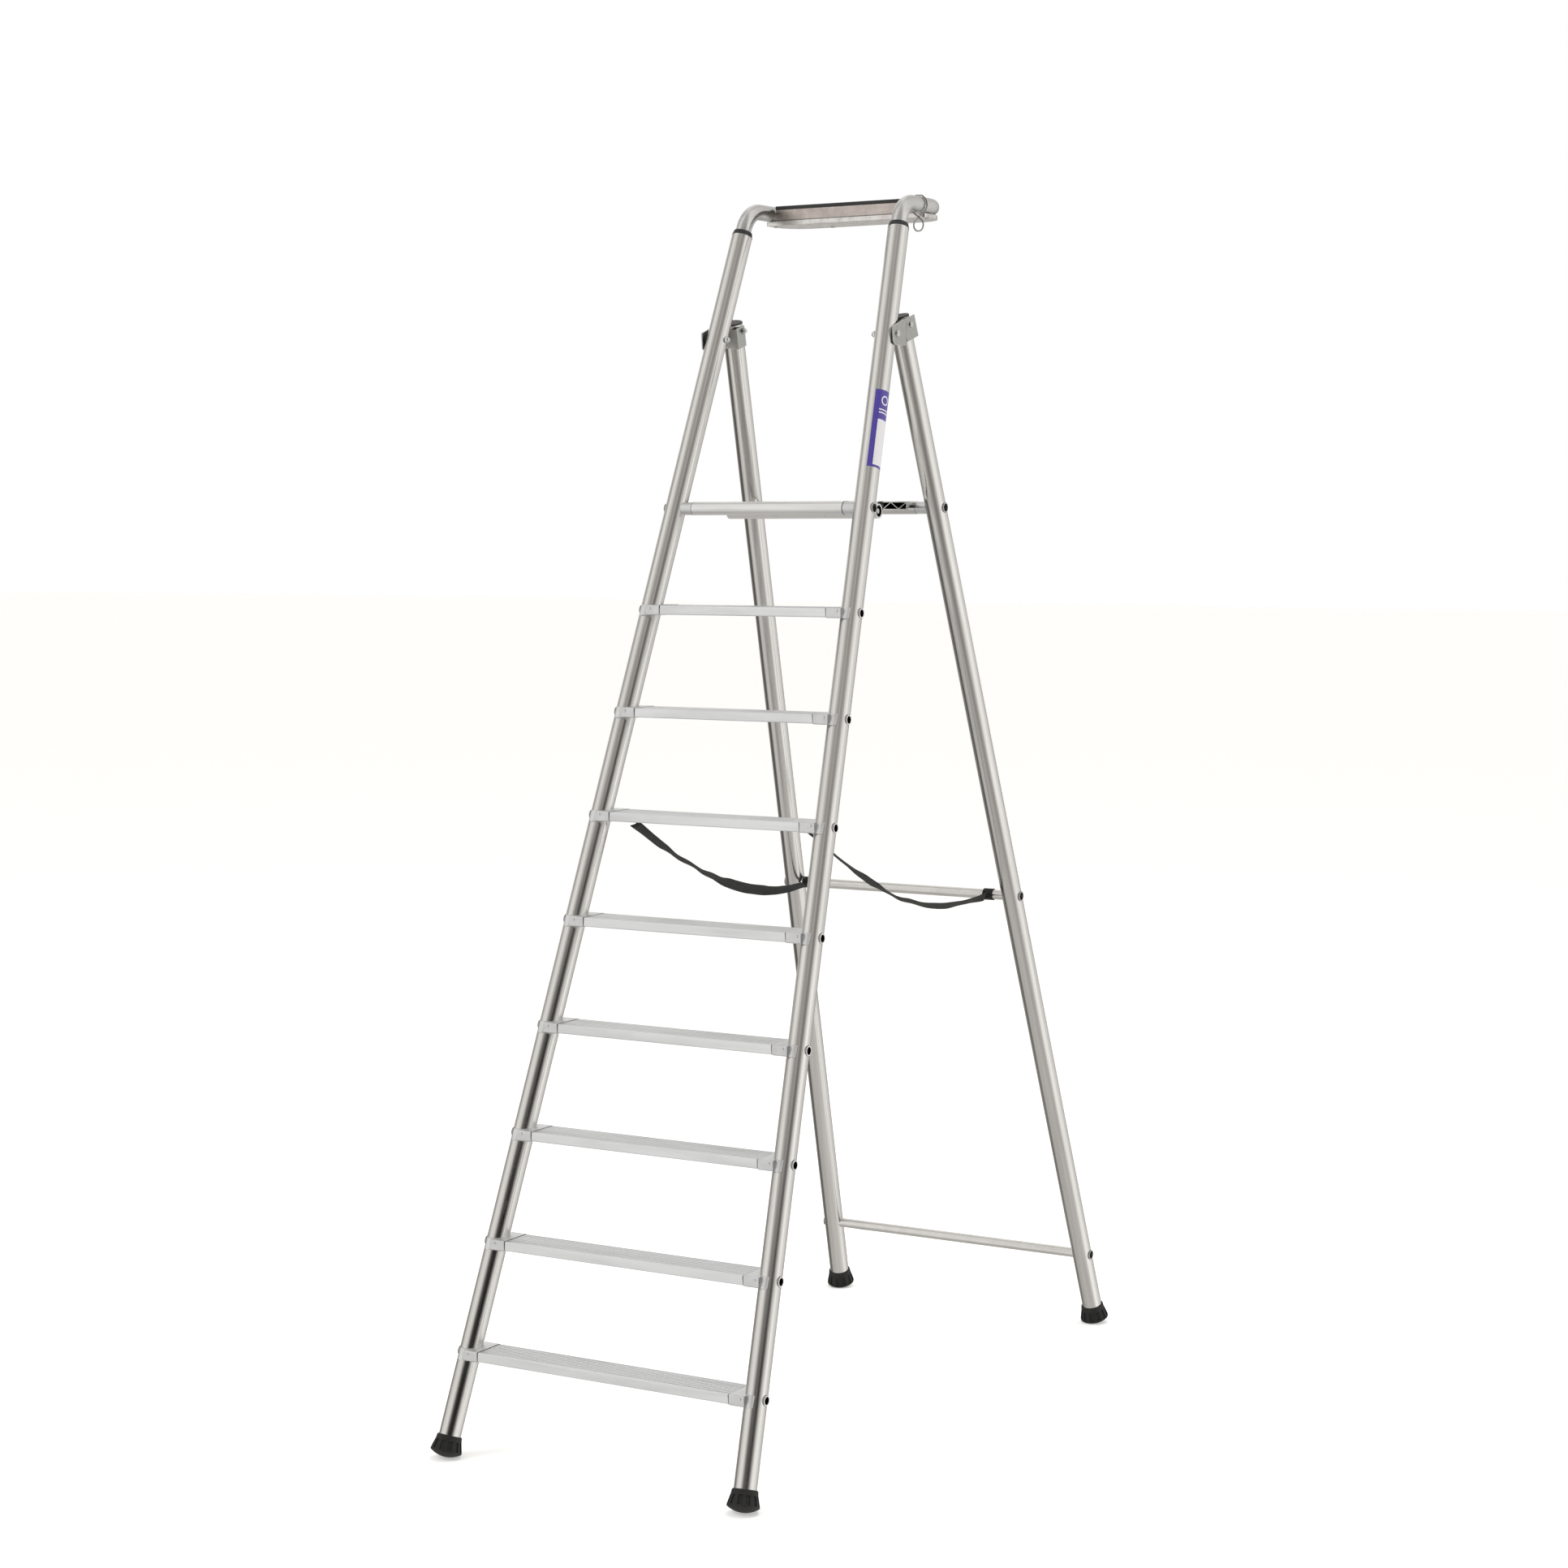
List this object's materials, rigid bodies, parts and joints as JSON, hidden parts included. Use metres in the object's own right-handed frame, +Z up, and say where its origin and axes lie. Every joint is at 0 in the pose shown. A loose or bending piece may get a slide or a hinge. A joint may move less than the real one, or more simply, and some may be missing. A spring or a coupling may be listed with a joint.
{
  "type": "platform step ladder",
  "caption": "Four-legged aluminium platform step ladder with treads, a folding platform, a guard rail with tool tray and a bucket hook.",
  "frame": {"origin": "on the floor, under the middle of the open ladder's box", "axes": "+X to the right of a person who climbs, +Y the way the climber faces, +Z up"},
  "size_m": [0.8524, 1.8602, 2.8681],
  "materials": {
    "tube_aluminium": "bright extruded, finely brushed along the tube",
    "cap_alloy": "satin die-cast",
    "tread_aluminium": "matte extruded",
    "tray_aluminium": "mill-finished sheet",
    "rubber_black": "moulded, matte",
    "plastic_black": "moulded, satin",
    "webbing_black": "woven polyester webbing",
    "label_film": "printed film",
    "bracket_steel": "zinc-plated plate",
    "fastener_steel": "zinc-plated, bright"
  },
  "bodies": {
    "front_frame": {"stile_left": "tube_aluminium", "stile_right": "tube_aluminium", "tread_1": "tread_aluminium", "tread_2": "tread_aluminium", "tread_3": "tread_aluminium", "tread_4": "tread_aluminium", "tread_5": "tread_aluminium", "tread_6": "tread_aluminium", "tread_7": "tread_aluminium", "tread_8": "tread_aluminium", "tread_caps_1": "cap_alloy", "tread_caps_2": "cap_alloy", "tread_caps_3": "cap_alloy", "tread_caps_4": "cap_alloy", "tread_caps_5": "cap_alloy", "tread_caps_6": "cap_alloy", "tread_caps_7": "cap_alloy", "tread_caps_8": "cap_alloy", "tread_tie_tubes": "tube_aluminium", "tread_cap_rivets": "fastener_steel", "platform_tie_tube": "tube_aluminium", "platform_front_spacers": "cap_alloy", "stile_collar_left": "plastic_black", "stile_collar_right": "plastic_black", "handrail": "tube_aluminium", "tool_tray": "tray_aluminium", "tray_trim": "plastic_black", "tray_rivets": "fastener_steel", "side_label": "label_film", "pivot_bolts": "fastener_steel", "pivot_nuts": "fastener_steel", "pivot_spacers": "plastic_black", "foot_front_left": "rubber_black", "foot_front_right": "rubber_black", "strap_left": "webbing_black", "strap_right": "webbing_black", "strap_anchor_left": "webbing_black", "strap_anchor_right": "webbing_black"},
    "rear_frame": {"rear_leg_left": "tube_aluminium", "rear_leg_right": "tube_aluminium", "rear_leg_caps": "plastic_black", "crossbar_low": "tube_aluminium", "crossbar_middle": "tube_aluminium", "crossbar_platform": "tube_aluminium", "hinge_bracket_left": "bracket_steel", "hinge_bracket_right": "bracket_steel", "bracket_bolts": "fastener_steel", "bracket_nuts": "fastener_steel", "platform_sleeve": "tube_aluminium", "platform_rear_spacers": "cap_alloy", "foot_rear_left": "rubber_black", "foot_rear_right": "rubber_black", "strap_loop_left": "webbing_black", "strap_loop_right": "webbing_black"},
    "platform_front": {"platform_front_panel": "tread_aluminium", "platform_hinge_pin": "fastener_steel"},
    "platform_rear": {"platform_rear_panel": "tread_aluminium"},
    "hook": {"bucket_hook": "fastener_steel"}
  },
  "joints": [
    {"name": "rear_fold", "type": "hinge", "parent": "front_frame", "child": "rear_frame", "pos_m": [0, 0.02849, 2.5285], "axis": [-1, 0, 0], "range_deg": [0, 37], "deforming": ["strap_left", "strap_right"]},
    {"name": "platform_front_fold", "type": "hinge", "parent": "front_frame", "child": "platform_front", "pos_m": [0, -0.12029, 2.124], "axis": [1, 0, 0], "range_deg": [0, 70.08]},
    {"name": "platform_rear_fold", "type": "hinge", "parent": "platform_front", "child": "platform_rear", "pos_m": [0, 0.04251, 2.117], "axis": [-1, 0, 0], "range_deg": [0, 159.69]},
    {"name": "hook_swing", "type": "hinge", "parent": "front_frame", "child": "hook", "pos_m": [0.21111, 0.22951, 2.845], "axis": [0, 1, 0], "range_deg": [-75, 75]}
  ],
  "couplings": [
    {"joint": "platform_front_fold", "follows": "rear_fold", "ratio": 1.8938},
    {"joint": "platform_rear_fold", "follows": "rear_fold", "ratio": 4.3158}
  ]
}
